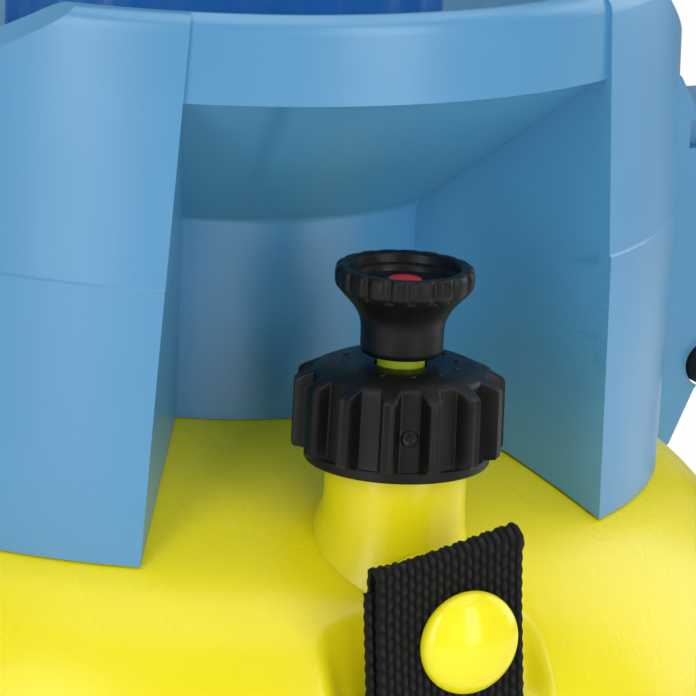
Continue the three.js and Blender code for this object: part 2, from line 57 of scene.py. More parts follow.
mm = 0.001                      # pieces are modelled in millimetres, then scaled once
record = frame["record"]
print("frame loaded:", len(frame["nodes"]), "nodes")


# camera first, so that every piece can be looked at from the right side
cameraSet = {
    "place": (-0.3214, -0.6988, 0.5990),
    "turn": 26.47,              # degrees to the right of straight ahead
    "dip": 15.13,               # degrees below level
    "roll": 2.58,
    "lens": 236,
}
cameraData = bpy.data.cameras.new("studioCamera")
cameraData.lens = cameraSet["lens"]
cameraData.clip_start = 0.02
cameraObject = bpy.data.objects.new("studioCamera", cameraData)
bpy.context.scene.collection.objects.link(cameraObject)
cameraObject.matrix_world = (
    Matrix.Translation(cameraSet["place"])
    @ Matrix.Rotation(math.radians(-cameraSet["turn"]), 4, "Z")
    @ Matrix.Rotation(math.radians(90 - cameraSet["dip"]), 4, "X")
    @ Matrix.Rotation(math.radians(cameraSet["roll"]), 4, "Z")
)
bpy.context.scene.camera = cameraObject
print("camera placed")


# materials
def toLinear(code):
    parts = [int(code[i:i + 2], 16) / 255 for i in (1, 3, 5)]
    return [p / 12.92 if p <= 0.04045 else ((p + 0.055) / 1.055) ** 2.4 for p in parts] + [1.0]


# Adds a node with its settings, values and links, and the places and hex colours of a ramp's stops.
def addNode(tree, kind, values=None, links=None, stops=(), **settings):
    node = tree.nodes.new(kind)
    for key, value in settings.items():
        setattr(node, key, value)
    for key, value in (values or {}).items():
        node.inputs[key].default_value = value
    for key, source in (links or {}).items():
        tree.links.new(source, node.inputs[key])
    if stops:
        ramp = node.color_ramp.elements
        ramp.remove(ramp[1])
        ramp[0].position, ramp[0].color = stops[0][0], toLinear(stops[0][1])
        for place, code in stops[1:]:
            ramp.new(place).color = toLinear(code)
    return node


def startMaterial(name):
    material = bpy.data.materials.new(name)
    material.use_nodes = True
    tree = material.node_tree
    tree.nodes.clear()
    shader = addNode(tree, "ShaderNodeBsdfPrincipled")
    addNode(tree, "ShaderNodeOutputMaterial", links={"Surface": shader.outputs[0]})
    return material, tree, shader


# An injection or blow moulded plastic: slow colour drift from the melt, a fine skin texture,
# and handling scuffs that only change the gloss.
def mouldedPlastic(name, look):
    material, tree, shader = startMaterial(name)
    spot = addNode(tree, "ShaderNodeTexCoord").outputs["Object"]
    drift = addNode(tree, "ShaderNodeTexNoise", {"Scale": 1 / (look["driftMm"] * mm), "Detail": 3.0,
                    "Roughness": 0.5}, {"Vector": spot})
    colour = addNode(tree, "ShaderNodeValToRGB", links={"Fac": drift.outputs["Fac"]},
                     stops=[(0.3, look["dark"]), (0.5, look["base"]), (0.72, look["light"])])
    tree.links.new(colour.outputs[0], shader.inputs["Base Color"])
    stretch = addNode(tree, "ShaderNodeMapping", {"Scale": look.get("scuffStretch", (1, 1, 0.25))},
                      {"Vector": spot})
    scuff = addNode(tree, "ShaderNodeTexNoise", {"Scale": 1 / (look["scuffMm"] * mm), "Detail": 5.0,
                    "Roughness": 0.62}, {"Vector": stretch.outputs[0]})
    gloss = addNode(tree, "ShaderNodeMapRange", {"From Min": 0.35, "From Max": 0.75,
                    "To Min": look["roughness"], "To Max": look["roughness"] + look["scuffGain"]},
                    {"Value": scuff.outputs["Fac"]})
    tree.links.new(gloss.outputs[0], shader.inputs["Roughness"])
    skin = addNode(tree, "ShaderNodeTexNoise", {"Scale": 1 / (look["grainMm"] * mm), "Detail": 2.0},
                   {"Vector": spot})
    wave = addNode(tree, "ShaderNodeTexNoise", {"Scale": 1 / (look["waveMm"] * mm), "Detail": 1.0},
                   {"Vector": spot})
    lowBump = addNode(tree, "ShaderNodeBump", {"Strength": 1.0, "Distance": look["waveHeightMm"] * mm},
                      {"Height": wave.outputs["Fac"]})
    highBump = addNode(tree, "ShaderNodeBump", {"Strength": 1.0, "Distance": look["grainHeightMm"] * mm},
                       {"Height": skin.outputs["Fac"], "Normal": lowBump.outputs[0]})
    tree.links.new(highBump.outputs[0], shader.inputs["Normal"])
    shader.inputs["Specular IOR Level"].default_value = look.get("gloss", 0.5)
    if look.get("glow"):
        shader.inputs["Subsurface Weight"].default_value = look["glow"]
        shader.inputs["Subsurface Radius"].default_value = look["glowRadius"]
        shader.inputs["Subsurface Scale"].default_value = look["glowMm"] * mm
    return material


# moulded polypropylene, satin: soft broad highlights on a clear light blue
bluePolypropylene = mouldedPlastic("satinBluePolypropylene", {
    "base": "#488dba", "dark": "#4389b6", "light": "#4e93c0", "driftMm": 55, "scuffMm": 14,
    "roughness": 0.3, "gloss": 1.0, "scuffGain": 0.06,
    "grainMm": 0.55, "grainHeightMm": 0.008, "waveMm": 24, "waveHeightMm": 0.12})
# the pump's polypropylene in a deeper blue, a little glossier
deepBluePolypropylene = mouldedPlastic("deepBluePolypropylene", {
    "base": "#1b62ae", "dark": "#185ba6", "light": "#216cb9", "driftMm": 30, "scuffMm": 8, "roughness": 0.26,
    "scuffGain": 0.1, "grainMm": 0.5, "grainHeightMm": 0.007, "waveMm": 14, "waveHeightMm": 0.06})
# blow moulded high-density polyethylene: waxy, slightly translucent, gently uneven wall
yellowPolyethylene = mouldedPlastic("blowMouldedYellowPolyethylene", {
    "base": "#e8db12", "dark": "#e5d710", "light": "#ebdf16", "driftMm": 70, "scuffMm": 16, "roughness": 0.26,
    "scuffGain": 0.05, "grainMm": 0.8, "grainHeightMm": 0.008, "waveMm": 40, "waveHeightMm": 0.14,
    "glow": 0.12, "glowRadius": (1.0, 0.8, 0.1), "glowMm": 2.5})
# moulded glass-filled nylon, spark-eroded tool: near black, satin with a fine sparkle
blackNylon = mouldedPlastic("satinBlackNylon", {
    "base": "#0c0c0b", "dark": "#0a0a09", "light": "#10100f", "driftMm": 12, "scuffMm": 3,
    "roughness": 0.34, "gloss": 0.28, "scuffGain": 0.16,
    "grainMm": 0.28, "grainHeightMm": 0.014, "waveMm": 6, "waveHeightMm": 0.03})
# moulded rubber: dull, dusty black
blackRubber = mouldedPlastic("dullBlackRubber", {
    "base": "#1a1b1b", "dark": "#151616", "light": "#242525", "driftMm": 6, "scuffMm": 3, "roughness": 0.62,
    "scuffGain": 0.2, "grainMm": 0.4, "grainHeightMm": 0.02, "waveMm": 5, "waveHeightMm": 0.02})
# moulded acetal in yellow-green: smooth and slightly waxy
limeAcetal = mouldedPlastic("limeAcetal", {
    "base": "#a9bd1f", "dark": "#9fb31a", "light": "#b4c82a", "driftMm": 9, "scuffMm": 3, "roughness": 0.3,
    "scuffGain": 0.12, "grainMm": 0.4, "grainHeightMm": 0.006, "waveMm": 6, "waveHeightMm": 0.02})
# moulded red polypropylene, semi-matt
redPolypropylene = mouldedPlastic("redPolypropylene", {
    "base": "#c01a22", "dark": "#b4161e", "light": "#cb2229", "driftMm": 5, "scuffMm": 2, "roughness": 0.4,
    "scuffGain": 0.12, "grainMm": 0.35, "grainHeightMm": 0.01, "waveMm": 4, "waveHeightMm": 0.02})
# polished yellow polypropylene: clear reflections of the lamps on the strap button
yellowButtonPlastic = mouldedPlastic("polishedYellowPolypropylene", {
    "base": "#f0e51c", "dark": "#ebdf18", "light": "#f4ea25", "driftMm": 12, "scuffMm": 4, "roughness": 0.15,
    "scuffGain": 0.1, "grainMm": 0.8, "grainHeightMm": 0.004, "waveMm": 7, "waveHeightMm": 0.03,
    "glow": 0.1, "glowRadius": (1.0, 0.8, 0.1), "glowMm": 1.5})
# natural grey polypropylene of the pump rod
greyPolypropylene = mouldedPlastic("greyPolypropyleneRod", {
    "base": "#8c9094", "dark": "#84888c", "light": "#95999c", "driftMm": 18, "scuffMm": 5, "roughness": 0.36,
    "scuffGain": 0.15, "grainMm": 0.5, "grainHeightMm": 0.008, "waveMm": 8, "waveHeightMm": 0.02,
    "scuffStretch": (1, 1, 0.06)})


# drawn stainless wire: fine lines along the drawing direction
def drawnSteel():
    material, tree, shader = startMaterial("drawnStainlessWire")
    spot = addNode(tree, "ShaderNodeTexCoord").outputs["Object"]
    line = addNode(tree, "ShaderNodeMapping", {"Scale": (1, 1, 6)}, {"Vector": spot})
    draw = addNode(tree, "ShaderNodeTexNoise", {"Scale": 1 / (0.6 * mm), "Detail": 4.0},
                   {"Vector": line.outputs[0]})
    colour = addNode(tree, "ShaderNodeValToRGB", links={"Fac": draw.outputs["Fac"]},
                     stops=[(0.3, "#a4a7aa"), (0.7, "#c9cbcc")])
    tree.links.new(colour.outputs[0], shader.inputs["Base Color"])
    gloss = addNode(tree, "ShaderNodeMapRange", {"To Min": 0.2, "To Max": 0.42},
                    {"Value": draw.outputs["Fac"]})
    tree.links.new(gloss.outputs[0], shader.inputs["Roughness"])
    bump = addNode(tree, "ShaderNodeBump", {"Strength": 0.5, "Distance": 0.01 * mm},
                   {"Height": draw.outputs["Fac"]})
    tree.links.new(bump.outputs[0], shader.inputs["Normal"])
    shader.inputs["Metallic"].default_value = 1.0
    return material


steelWire = drawnSteel()


# black polypropylene webbing: the ribs and stitches are in the mesh, and the material adds the
# bundled fibres (real ones are 0.04 mm, drawn 0.16 mm wide so that they show), their sheen, and painted light: a
# painted highlight on the raised stitches and painted shade in the furrows
def wovenWebbing():
    material, tree, shader = startMaterial("blackPolypropyleneWebbing")
    cloth = addNode(tree, "ShaderNodeUVMap", uv_map="cloth").outputs[0]
    twist = addNode(tree, "ShaderNodeMapping", {"Rotation": (0, 0, 0.35), "Scale": (1, 0.16, 1)},
                    {"Vector": cloth})
    fibre = addNode(tree, "ShaderNodeTexNoise", {"Scale": 1 / (0.16 * mm), "Detail": 2.0},
                    {"Vector": twist.outputs[0]})
    patch = addNode(tree, "ShaderNodeTexNoise", {"Scale": 1 / (3.0 * mm), "Detail": 3.0}, {"Vector": cloth})
    blendIn = addNode(tree, "ShaderNodeMath", links={0: fibre.outputs["Fac"], 1: patch.outputs["Fac"]},
                      operation="MULTIPLY")
    # painted highlight and painted shade: the base colour is lighter on the stitches, for the light they catch,
    # and black in the furrows between them, for the shade there
    raised = addNode(tree, "ShaderNodeAttribute", attribute_name="raised")
    lit = addNode(tree, "ShaderNodeMapRange", {"From Min": 0.25, "To Min": 0.15, "To Max": 1.0},
                  {"Value": raised.outputs["Fac"]})
    shade = addNode(tree, "ShaderNodeMath", links={0: blendIn.outputs[0], 1: lit.outputs[0]},
                    operation="MULTIPLY")
    colour = addNode(tree, "ShaderNodeValToRGB", links={"Fac": shade.outputs[0]},
                     stops=[(0.06, "#020202"), (0.2, "#0b0c0a"), (0.42, "#1a1c18")])
    tree.links.new(colour.outputs[0], shader.inputs["Base Color"])
    gloss = addNode(tree, "ShaderNodeMapRange", {"To Min": 0.95, "To Max": 0.48},
                    {"Value": lit.outputs[0]})
    tree.links.new(gloss.outputs[0], shader.inputs["Roughness"])
    bump = addNode(tree, "ShaderNodeBump", {"Strength": 0.9, "Distance": 0.06 * mm},
                   {"Height": fibre.outputs["Fac"]})
    tree.links.new(bump.outputs[0], shader.inputs["Normal"])
    shader.inputs["Specular IOR Level"].default_value = 0.35
    return material


webbingCloth = wovenWebbing()
print("materials made")


# modelling helpers
def polarPoints(radius, start, end, steps, across, up):
    return [(across + radius * math.cos(math.radians(start + (end - start) * i / steps)),
             up + radius * math.sin(math.radians(start + (end - start) * i / steps)))
            for i in range(steps + 1)]


# A smooth curve through the points, with each span cut into equal steps.
def smoothLine(points, cuts):
    line = []
    for i in range(len(points) - 1):
        before, a, b, after = (Vector(points[max(i - 1, 0)]), Vector(points[i]), Vector(points[i + 1]),
                               Vector(points[min(i + 2, len(points) - 1)]))
        for k in range(cuts):
            t = k / cuts
            line.append(tuple(0.5 * ((2 * a) + (b - before) * t + (2 * before - 5 * a + 4 * b - after) * t * t
                                     + (3 * a - before - 3 * b + after) * t ** 3)))
    return line + [tuple(points[-1])]


# Spins a profile of (radius, height) round the upright axis, in one full turn or in the given parts.
def turnShape(profile, steps, closed=False, parts=None):
    bm = bmesh.new()
    corners = [bm.verts.new((r, 0, z)) for r, z in profile]
    for a, b in zip(corners, corners[1:] + (corners[:1] if closed else [])):
        if a is not b:
            bm.edges.new((a, b))
    ring = bm.verts[:] + bm.edges[:]
    for sweep, count in parts or [(360, steps)]:
        made = bmesh.ops.spin(bm, geom=ring, cent=(0, 0, 0), axis=(0, 0, 1), angle=math.radians(sweep),
                              steps=count, use_merge=not parts)
        ring = made["geom_last"]
    bmesh.ops.remove_doubles(bm, verts=bm.verts, dist=0.002)
    bmesh.ops.recalc_face_normals(bm, faces=bm.faces)
    return bm


# A flat outline in one plane, extruded from low to high across it.
def slabShape(points, plane, low, high):
    seat = {"XY": lambda u, v, d: (u, v, d), "XZ": lambda u, v, d: (u, d, v)}[plane]
    bm = bmesh.new()
    face = bm.faces.new([bm.verts.new(seat(u, v, low)) for u, v in points])
    made = bmesh.ops.extrude_face_region(bm, geom=[face])
    moved = [v for v in made["geom"] if isinstance(v, bmesh.types.BMVert)]
    bmesh.ops.translate(bm, verts=moved, vec=seat(0, 0, high - low))
    bmesh.ops.recalc_face_normals(bm, faces=bm.faces)
    return bm


def placeShape(bm, matrix):
    bmesh.ops.transform(bm, matrix=matrix, verts=bm.verts)
    bmesh.ops.recalc_face_normals(bm, faces=bm.faces)
    return bm


def moveShape(bm, offset):
    bmesh.ops.translate(bm, verts=bm.verts, vec=offset)
    return bm


def mirrorShape(bm):
    other = bm.copy()
    return placeShape(other, Matrix.Scale(-1, 4, (1, 0, 0)))


def joinShapes(bm, shapes):
    spare = bpy.data.meshes.new("spare")
    for shape in shapes:
        shape.to_mesh(spare)
        bm.from_mesh(spare)
    bpy.data.meshes.remove(spare)


def looseObject(bm):
    mesh = bpy.data.meshes.new("working")
    bm.to_mesh(mesh)
    thing = bpy.data.objects.new("working", mesh)
    bpy.context.scene.collection.objects.link(thing)
    return thing


weld = 0.01                     # after a boolean step, corners closer than this are one


# Boolean steps on closed shapes: each is (operation, shape). Returns one new shape.
def carve(base, steps):
    bm = base
    for operation, tool in steps:
        thing, helper = looseObject(bm), looseObject(tool)
        step = thing.modifiers.new("step", "BOOLEAN")
        step.operation, step.object, step.solver = operation, helper, "EXACT"
        bpy.context.view_layer.update()
        graph = bpy.context.evaluated_depsgraph_get()
        made = bpy.data.meshes.new_from_object(thing.evaluated_get(graph))
        bm = bmesh.new()
        bm.from_mesh(made)
        for old in (thing, helper):
            bpy.data.objects.remove(old)
        bpy.data.meshes.remove(made)
        # each step starts from a clean mesh, or the next one can turn it inside out
        bmesh.ops.remove_doubles(bm, verts=bm.verts, dist=weld)
        bmesh.ops.dissolve_degenerate(bm, dist=weld, edges=bm.edges)
    return bm


# Rounds every edge that turns by more than the angle, in degrees.
def roundEdges(bm, width, segments, angle):
    edges = [e for e in bm.edges
             if len(e.link_faces) == 2 and e.calc_face_angle(0) > math.radians(angle)]
    if edges:
        bmesh.ops.bevel(bm, geom=edges, offset=width, offset_type="OFFSET", affect="EDGES",
                        segments=segments, profile=0.5, material=-1, clamp_overlap=True, loop_slide=True)


# Scales to metres, smooths, names, colours and seats a finished piece on its body.
def deliver(bm, name, body, material, nodes, smoothAngle=38):
    bmesh.ops.scale(bm, vec=(mm, mm, mm), verts=bm.verts)
    mesh = bpy.data.meshes.new(name)
    bm.to_mesh(mesh)
    bm.free()
    mesh.polygons.foreach_set("use_smooth", [True] * len(mesh.polygons))
    mesh.set_sharp_from_angle(angle=math.radians(smoothAngle))
    piece = bpy.data.objects.new(name, mesh)
    bpy.context.scene.collection.objects.link(piece)
    piece.data.materials.append(material)
    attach(piece, body)
    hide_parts(*nodes)
    return piece


# Broad faces keep flat shading right up to their small rounded edges.
def evenShading(piece):
    piece.modifiers.new("evenShading", "WEIGHTED_NORMAL").keep_sharp = True


# 0 below low, 1 above high, and a smooth rise between them.
def ease(value, low, high):
    t = min(max((value - low) / (high - low), 0.0), 1.0)
    return t * t * (3 - 2 * t)


# funnel collar: the ring over the tank with the valve pocket, cut-down sides and hook brackets
collarSet = {
    "steps": 144, "bottomZ": 374.3, "partingZ": 420.4, "bridgeZ": 450, "rimZ": 464, "widest": 79.15,
    "top": 78.1, "foot": 78.3, "tube": 39.8, "wall": 2.6, "sideSlope": 0.8, "sideStart": 51.2,
    "edge": 0.9, "wingHalf": 8, "flatAngle": 0.08, "sharpAngle": 28,
}
# the pocket's half widths at its back wall and at the collar's front, and how much the front one
# grows from the bridge down to the collar's foot; the shape itself runs from nearY to farY
pocketSet = {
    "backHalf": 21.5, "backY": -33.5, "frontHalf": 37.7, "frontGrowth": 4.9, "frontY": -68,
    "nearY": -20, "farY": -100, "levels": 22, "stations": 8,
}


# The valve pocket widens outward and downward; its side walls twist a little, so they are a fine grid.
def pocketShape(extra, low, high):
    k = pocketSet
    levels, stations, backHalf = k["levels"], k["stations"], k["backHalf"]
    bm = bmesh.new()
    rows = []
    for i in range(levels + 1):
        z = low + (high - low) * i / levels
        fall = (collarSet["bridgeZ"] - z) / (collarSet["bridgeZ"] - collarSet["bottomZ"])
        front = k["frontHalf"] + k["frontGrowth"] * fall
        spread = (front - backHalf) / (k["backY"] - k["frontY"])
        near = backHalf - spread * (k["nearY"] - k["backY"]) + extra
        far = front + spread * (k["frontY"] - k["farY"]) + extra
        line = [(near + (far - near) * j / stations, k["nearY"] + (k["farY"] - k["nearY"]) * j / stations)
                for j in range(stations + 1)]
        line += [(-x, y) for x, y in reversed(line)]
        rows.append([bm.verts.new((x, y, z)) for x, y in line])
    bm.faces.new(rows[0])
    bm.faces.new(rows[-1])
    around = len(rows[0])
    for lower, upper in zip(rows, rows[1:]):
        for j in range(around):
            a, b, c, d = lower[j], lower[(j + 1) % around], upper[(j + 1) % around], upper[j]
            if j in (stations, around - 1):
                bm.faces.new((a, b, c, d))
            elif j < stations:          # the two side walls' diagonals mirror each other
                bm.faces.new((a, b, c))
                bm.faces.new((a, c, d))
            else:
                bm.faces.new((a, b, d))
                bm.faces.new((b, c, d))
    bmesh.ops.recalc_face_normals(bm, faces=bm.faces)
    return bm


def makeCollar():
    c = collarSet
    steps = c["steps"]
    slopeAt = lambda x: c["rimZ"] - c["sideSlope"] * (x - c["sideStart"])
    outside = [(c["foot"], 366), (c["widest"], c["partingZ"] - 0.25),
               (c["widest"] - 0.3, c["partingZ"] + 0.1), (c["top"], 457.5)]
    rim = polarPoints(3.0, 0, 90, 5, c["top"] - 3.05, 461) + polarPoints(1.8, 90, 180, 4, 74.4, 462.2)
    inside = [(72.3, 453), (39.5, 427.5), (31.8, 427), (31.8, 424), (37.2, 424), (37.2, 380), (39.8, 380),
              (39.8, 421.8), (40.6, 423.4), (76.0, 450), (76.4, 366)]
    shell = turnShape(outside + rim + inside, steps, closed=True)
    fill = turnShape([(0, 350), (c["tube"], 350), (c["tube"], 421.8), (40.6, 423.4), (76.0, 450.0),
                      (0, c["bridgeZ"] + 0.01)], steps)
    sideCut = slabShape([(c["sideStart"], c["rimZ"]), (c["sideStart"], 490), (140, 490), (140, slopeAt(140))],
                        "XZ", -100, 100)
    pocket = carve(pocketShape(0, 340, c["bridgeZ"]), [("DIFFERENCE", fill)])
    # the bridge ring stands a little behind the pillars beside it, up to the rim
    face = carve(pocketShape(0, 444, 474), [
        ("INTERSECT", turnShape([(77.35, 438), (90, 438), (90, 470), (74.9, 470), (74.9, 464.2),
                                 (75.2, 463.95), (76.0, 463.55), (76.7, 462.9), (77.2, 462.0),
                                 (77.35, 461)], steps, closed=True))])
    band = carve(pocketShape(c["wall"], 340, 452), [
        ("INTERSECT", turnShape([(38.6, 366), (77.3, 366), (77.3, 451), (38.6, 424.1)],
                                steps, closed=True)),
        ("DIFFERENCE", pocketShape(0, 336, 456))])
    bowl = turnShape([(0, 427.2), (39.4, 427.7), (72.1, 453.1), (72.4, 462.8), (72.4, 500), (0, 500)], steps)
    plate = carve(slabShape([(60, slopeAt(60) + 4), (60, slopeAt(60) - 3.4), (79, slopeAt(79) - 3.4),
                             (79, slopeAt(79) + 4)], "XZ", -70, 70),
                  [("INTERSECT", turnShape([(0, 400), (77.4, 400), (77.4, 480), (0, 480)], steps)),
                   ("DIFFERENCE", bowl)])
    wing = makeWing(slopeAt)
    # room for the tank's shoulder and neck
    clear = turnShape([(0, 340), (101.6, 340), (98.6, 349.4), (94.9, 358), (90, 365.3), (85, 370.3),
                       (79.7, 374), (69.8, 378.7), (60.6, 382.5), (39.8, 388.6), (34.2, 390.8),
                       (31.35, 393.2), (31.35, 440), (0, 440)], steps)
    foot = turnShape([(0, 340), (84, 340), (84, c["bottomZ"]), (0, c["bottomZ"])], steps)
    body = carve(shell, [
        ("UNION", plate), ("UNION", mirrorShape(plate)), ("DIFFERENCE", pocket), ("DIFFERENCE", face),
        ("DIFFERENCE", sideCut), ("DIFFERENCE", mirrorShape(sideCut)), ("UNION", band),
        ("UNION", wing), ("UNION", mirrorShape(wing)), ("DIFFERENCE", clear), ("DIFFERENCE", foot)])
    bmesh.ops.dissolve_limit(body, angle_limit=math.radians(c["flatAngle"]),
                             verts=body.verts, edges=body.edges)
    roundEdges(body, c["edge"], 3, c["sharpAngle"])
    evenShading(deliver(body, "funnelCollarMoulding", "sprayer", bluePolypropylene,
                        ["funnel_collar"]))


# One side bracket: a hook for the lance with pockets in both faces and a notch for the black peg.
def makeWing(slopeAt):
    half = collarSet["wingHalf"]
    hook = slabShape([(74, slopeAt(74) - 0.02), (86.8, slopeAt(86.8)), (90, 430), (129, 430), (131, 428),
                      (131, 426), (129, 424.6), (112, 423.4), (106, 418), (104, 390), (100, 385.6),
                      (93.3, 376.9), (88.8, 367), (80, 362), (74, 362)], "XZ", -half, half)
    window = [(89.2, 422.3), (108, 422.3), (108, 427.3), (89.2, 427.3)]
    pegHole = placeShape(turnShape([(0, -9), (4.2, -9), (4.2, 9), (0, 9)], 48),
                         Matrix.Translation((95.6, 0, 381.6)) @ Matrix.Rotation(math.pi / 2, 4, "X"))
    pegSlot = slabShape([(95, 379.5), (110, 379.5), (110, 383.7), (95, 383.7)], "XZ", -9, 9)
    tubeHole = placeShape(turnShape([(0, 415), (5, 415), (5, 440), (0, 440)], 48),
                          Matrix.Translation((118, 0, 0)))
    tubeSlot = slabShape([(118, -5), (138, -5), (138, 5), (118, 5)], "XY", 415, 440)
    inside = turnShape([(0, 300), (77, 300), (77, 480), (0, 480)], collarSet["steps"])
    return carve(hook, [("DIFFERENCE", tool) for tool in (
        slabShape(window, "XZ", -9, -4.4), slabShape(window, "XZ", 4.4, 9), pegHole, pegSlot,
        tubeHole, tubeSlot, inside)])


makeCollar()
print("funnel collar made")


# tank: blow moulded, with a soft recess for the strap and a neck for the relief valve
tankSet = {
    "radius": 100.6, "recessHalf": 18.3, "recessFloor": 92.6, "recessLean": 0.42, "recessBend": 350,
    "recessLow": 250, "recessHigh": 378, "recessRound": 2.2, "valveY": -72.5, "strapZ": 368.6,
    "outletZ": 66, "neckLean": 0.52, "neckLeanLow": 376, "neckLeanHigh": 388,
}
# where corners are pushed back for the recess: the side's outer skin, and the shoulder above it
pushSet = {"sideY": -80, "sideLow": 240, "skinFrom": 98.8, "shoulderY": -60, "shoulderLow": 355,
           "shoulderFrom": 60, "high": 384}


def makeTank():
    t, push = tankSet, pushSet
    radius = t["radius"]
    shoulder = smoothLine([(radius, 322), (100.55, 331), (99.9, 340), (98, 349), (94.5, 357.5),
                           (89.7, 364.8), (84.8, 369.8), (79.5, 373.5), (69.7, 378.2), (60.5, 382),
                           (47, 386.2), (34, 390.2)], 4)
    foot = smoothLine([(64, 15), (80, 16.2), (88, 19.4), (96.5, 28), (99.8, 37), (radius, 46)], 4)
    side = [(radius, z) for z in range(50, 240, 24)]
    recessRows = [(radius, z) for z in range(240, 264, 2)] + [(radius, z) for z in range(266, 322, 6)]
    outer = [(0, 21), (40, 17.4)] + foot + side + recessRows + shoulder
    outer += [(31.4, 391.2), (31, 393), (31, 431.4), (30.4, 432), (27.4, 432), (27, 431.6)]
    inner = [(27, 386.5), (34, 385), (60, 378), (80, 369.5), (92, 355), (97.4, 335), (97.4, 50), (92.5, 30),
             (84, 21.8), (63, 18.5), (0, 24)]
    # the front is turned in fine steps, so that the recess has soft edges
    bm = turnShape(outer + inner, 0, parts=[(35, 70), (325, 116)])
    placeShape(bm, Matrix.Rotation(math.radians(-107.5), 4, "Z"))
    for v in bm.verts:
        x, y, z = v.co
        out = math.hypot(x, y)
        onSide = y <= push["sideY"] and push["sideLow"] < z < push["high"] and out >= push["skinFrom"]
        onShoulder = (y < push["shoulderY"] and push["shoulderLow"] < z < push["high"]
                      and out > push["shoulderFrom"])
        if not onSide and not onShoulder:
            continue
        r = t["recessRound"]
        share = 1 - ease(abs(x), t["recessHalf"] - r, t["recessHalf"] + r)
        share *= ease(z, t["recessLow"] - r, t["recessLow"] + r)
        share *= 1 - ease(z, t["recessHigh"] - r, t["recessHigh"] + r)
        floor = t["recessFloor"] - t["recessLean"] * max(0.0, z - t["recessBend"])
        if y < -floor:
            v.co.y = y + (-floor - y) * share
    return bm


def makeTankDetails(bm):
    t = tankSet
    neck = turnShape(smoothLine([(13.6, 374.2), (13.0, 376.2), (12.3, 378.4), (11.75, 380.8), (11.5, 383.5),
                                 (11.45, 386)], 4)
                     + [(11.45, 402.0), (11.05, 402.4), (8.4, 402.4), (8, 402), (8, 380)], 96)
    # the foot of the neck leans with the shoulder that it grows from
    for v in neck.verts:
        v.co.z += t["neckLean"] * v.co.y * (1 - ease(v.co.z, t["neckLeanLow"], t["neckLeanHigh"]))
    placeShape(neck, Matrix.Translation((0, t["valveY"], 0)))
    boss = turnShape([(9.8, 84), (9.6, 91), (9.0, 93.6), (9.0, 94.9), (8.7, 95.2), (2.9, 95.2),
                      (2.9, 86)], 48)
    placeShape(boss, Matrix.Translation((0, 0, t["strapZ"])) @ Matrix.Rotation(math.pi / 2, 4, "X"))
    outlet = turnShape([(15, 95), (13.8, 101), (13, 103), (13, 107.6), (12.6, 108), (7.9, 108),
                        (7.5, 107.6), (7.5, 96)], 48)
    placeShape(outlet, Matrix.Translation((0, 0, t["outletZ"])) @ Matrix.Rotation(-math.pi / 2, 4, "Y"))
    joinShapes(bm, (neck, boss, outlet))
    return bm


deliver(makeTankDetails(makeTank()), "tankBlowMoulding", "sprayer", yellowPolyethylene,
        ["tank"], 50)
print("tank made")


# relief valve cap: broad flat ribs and narrow round ones by turns, a dished top and a flange
capSet = {
    "pairs": 14, "perPair": 32, "frontFlat": -109.2, "flatHalf": 0.235, "ribHalf": 0.115,
    "dip": 0.12, "dipHalf": 0.08, "ribHeight": 2.8, "pips": 12, "pipRing": 9.3, "gateAt": (14.33, 398.1),
    # each row: the flat's radius and height, then the rib's
    "rows": [(11.4, 406.75, 11.4, 406.75), (12.4, 406.33, 12.6, 406.25), (13.3, 405.92, 14.2, 405.5),
             (13.8, 405.65, 15.6, 404.85), (14.05, 405.4, 16.5, 404.42), (14.15, 405.05, 16.9, 404.1),
             (14.2, 404.4, 17.0, 403.6), (14.25, 402, 17.02, 402), (14.3, 400, 17.05, 400), (14.4, 396, 17.1, 396),
             (14.45, 393.7, 17.15, 393.7), (14.5, 393.0, 17.1, 393.2), (14.5, 392.75, 16.85, 392.95),
             (14.55, 392.6, 15.7, 392.85)],
}


